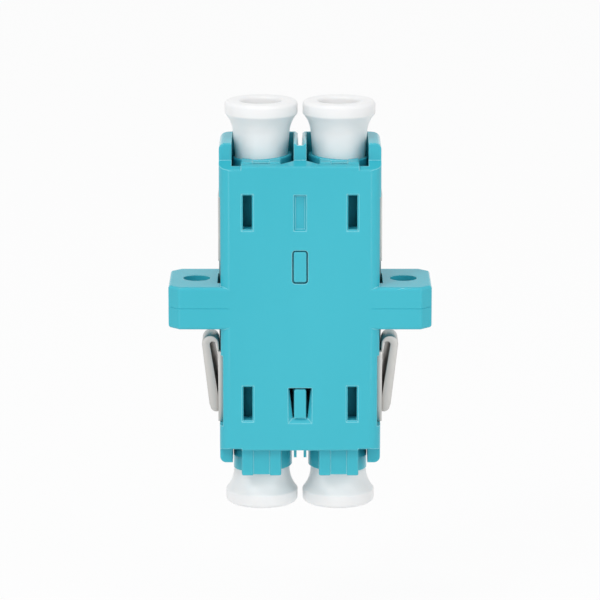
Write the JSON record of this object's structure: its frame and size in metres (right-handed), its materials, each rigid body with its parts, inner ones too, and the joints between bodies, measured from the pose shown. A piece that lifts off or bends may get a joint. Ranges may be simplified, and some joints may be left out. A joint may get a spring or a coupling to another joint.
{
  "type": "duplex fibre adapter",
  "caption": "Duplex fibre optic adapter with a flange, screw ears, side spring clips and pull-out dust caps.",
  "frame": {"origin": "midway between the two screw holes in the ears, on the underside of the flange, which meets the panel", "axes": "+Z along the two fibre channels, up in the picture; X across the channels; the windowed front face looks towards -Y"},
  "size_m": [0.0212, 0.0074, 0.0333],
  "materials": {
    "housing_plastic": "moulded, satin gloss",
    "collar_plastic": "moulded, satin gloss",
    "cap_plastic": "soft moulded plastic",
    "spring_steel": "rolled stainless strip",
    "sleeve_ceramic": "ground zirconia"
  },
  "bodies": {
    "adapter": {"upper_housing": "housing_plastic", "lower_housing": "housing_plastic", "ceramic_sleeve_left": "sleeve_ceramic", "ceramic_sleeve_right": "sleeve_ceramic", "upper_collar_left": "collar_plastic", "upper_collar_right": "collar_plastic", "lower_collar_left": "collar_plastic", "lower_collar_right": "collar_plastic", "spring_clip_left": "spring_steel", "spring_clip_right": "spring_steel"},
    "upper_cap_left": {"upper_cap_left": "cap_plastic"},
    "upper_cap_right": {"upper_cap_right": "cap_plastic"},
    "lower_cap_left": {"lower_cap_left": "cap_plastic"},
    "lower_cap_right": {"lower_cap_right": "cap_plastic"}
  },
  "joints": [
    {"name": "upper_cap_left_pull", "type": "slide", "parent": "adapter", "child": "upper_cap_left", "axis": [0, 0, 1], "range_m": [0, 0.0085]},
    {"name": "upper_cap_right_pull", "type": "slide", "parent": "adapter", "child": "upper_cap_right", "axis": [0, 0, 1], "range_m": [0, 0.0085]},
    {"name": "lower_cap_left_pull", "type": "slide", "parent": "adapter", "child": "lower_cap_left", "axis": [0, 0, -1], "range_m": [0, 0.0085]},
    {"name": "lower_cap_right_pull", "type": "slide", "parent": "adapter", "child": "lower_cap_right", "axis": [0, 0, -1], "range_m": [0, 0.0085]}
  ]
}
